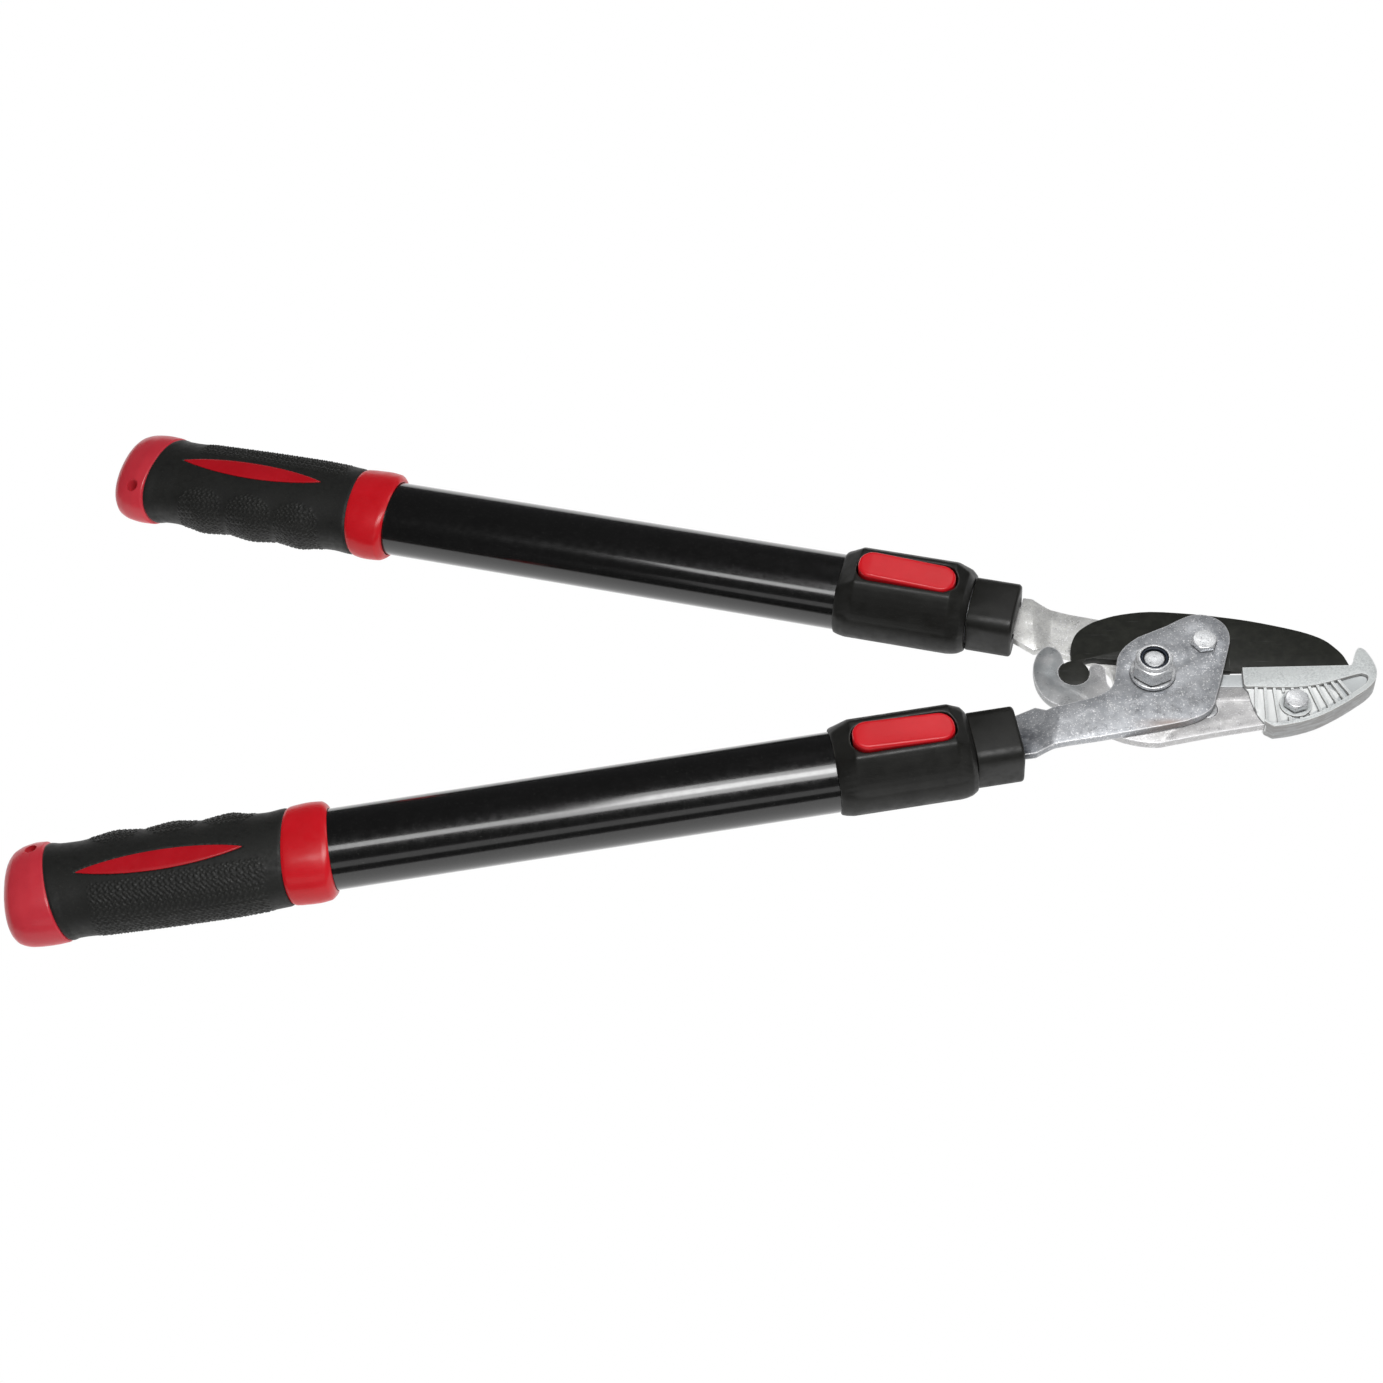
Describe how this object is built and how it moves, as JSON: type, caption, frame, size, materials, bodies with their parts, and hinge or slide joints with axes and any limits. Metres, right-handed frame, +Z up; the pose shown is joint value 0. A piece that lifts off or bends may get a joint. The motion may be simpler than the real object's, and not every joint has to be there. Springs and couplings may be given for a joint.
{
  "type": "telescopic anvil loppers",
  "caption": "Telescopic anvil loppers: a coated blade closes on a cast anvil through a compound linkage; oval tube handles slide out and lock with push buttons.",
  "frame": {"origin": "on the main pivot's axis, at the outer face of the main bolt's head, on which the tool rests", "axes": "+X along the tool towards the jaws, +Y towards the blade's side, +Z up along the pivots"},
  "size_m": [0.6168, 0.303, 0.0421],
  "materials": {
    "zinc_plate": "zinc plated, mottled",
    "bright_steel": "machined",
    "cast_metal": "die cast, sand texture",
    "coated_blade": "matte non-stick coating",
    "tube_paint": "gloss black",
    "inner_tube_metal": "satin",
    "black_plastic": "moulded satin",
    "rubber": "matte, textured",
    "red_plastic": "satin gloss",
    "nylon": "moulded"
  },
  "bodies": {
    "anvil_arm": {"anvil_arm": "zinc_plate", "anvil_jaw": "cast_metal", "anvil_bolt": "bright_steel", "anvil_nut": "bright_steel"},
    "blade": {"cutting_blade": "coated_blade"},
    "upper_handle": {"upper_plate": "zinc_plate", "arm_pivot_pin": "bright_steel", "main_bolt": "bright_steel", "main_nut": "bright_steel", "nut_lock_ring": "nylon", "front_washer": "bright_steel", "back_washer": "bright_steel", "pivot_spacer": "bright_steel", "upper_ferrule": "black_plastic", "upper_inner_tube": "inner_tube_metal", "upper_slide_bush": "black_plastic", "upper_roll_pin_1": "bright_steel", "upper_roll_pin_2": "bright_steel"},
    "lower_handle": {"lower_plate": "zinc_plate", "blade_pivot_pin": "bright_steel", "lower_ferrule": "black_plastic", "lower_inner_tube": "inner_tube_metal", "lower_slide_bush": "black_plastic", "lower_roll_pin_1": "bright_steel", "lower_roll_pin_2": "bright_steel"},
    "upper_slider": {"upper_lock_housing": "black_plastic", "upper_housing_screw": "bright_steel", "upper_outer_tube": "tube_paint", "upper_grip_collar": "red_plastic", "upper_grip": "rubber", "upper_grip_inlay": "red_plastic", "upper_end_cap": "red_plastic", "upper_button_hinge_pin": "bright_steel", "upper_button_spring": "bright_steel"},
    "upper_button": {"upper_lock_button": "red_plastic", "upper_lock_pin": "bright_steel"},
    "lower_slider": {"lower_lock_housing": "black_plastic", "lower_housing_screw": "bright_steel", "lower_outer_tube": "tube_paint", "lower_grip_collar": "red_plastic", "lower_grip": "rubber", "lower_grip_inlay": "red_plastic", "lower_end_cap": "red_plastic", "lower_button_hinge_pin": "bright_steel", "lower_button_spring": "bright_steel"},
    "lower_button": {"lower_lock_button": "red_plastic", "lower_lock_pin": "bright_steel"}
  },
  "joints": [
    {"name": "upper_handle_hinge", "type": "hinge", "parent": "anvil_arm", "child": "upper_handle", "pos_m": [0.024, -0.0168, 0.0165], "axis": [0, 0, -1], "range_deg": [0, 20]},
    {"name": "blade_hinge", "type": "hinge", "parent": "anvil_arm", "child": "blade", "pos_m": [-0.0353, 0.0037, 0.0165], "axis": [0, 0, 1], "range_deg": [0, 18.9]},
    {"name": "lower_handle_hinge", "type": "hinge", "parent": "blade", "child": "lower_handle", "pos_m": [0.0243, 0.0183, 0.0165], "axis": [0, 0, 1], "range_deg": [0, 15.9]},
    {"name": "upper_handle_slide", "type": "slide", "parent": "upper_handle", "child": "upper_slider", "axis": [-0.9794, 0.2019, 0], "range_m": [0, 0.3]},
    {"name": "lower_handle_slide", "type": "slide", "parent": "lower_handle", "child": "lower_slider", "axis": [-0.9794, -0.2019, 0], "range_m": [0, 0.3]},
    {"name": "upper_lock_button_hinge", "type": "hinge", "parent": "upper_slider", "child": "upper_button", "pos_m": [-0.11283, 0.04642, 0.0343], "axis": [-0.2019, -0.9794, 0], "range_deg": [0, 6], "stiffness_Nm_per_rad": 0.2, "springref_deg": -17.19},
    {"name": "lower_lock_button_hinge", "type": "hinge", "parent": "lower_slider", "child": "lower_button", "pos_m": [-0.11283, -0.04642, 0.0343], "axis": [0.2019, -0.9794, 0], "range_deg": [0, 6], "stiffness_Nm_per_rad": 0.2, "springref_deg": -17.19}
  ],
  "couplings": [
    {"joint": "blade_hinge", "follows": "upper_handle_hinge", "ratio": 0.942},
    {"joint": "lower_handle_hinge", "follows": "upper_handle_hinge", "ratio": 0.792}
  ]
}
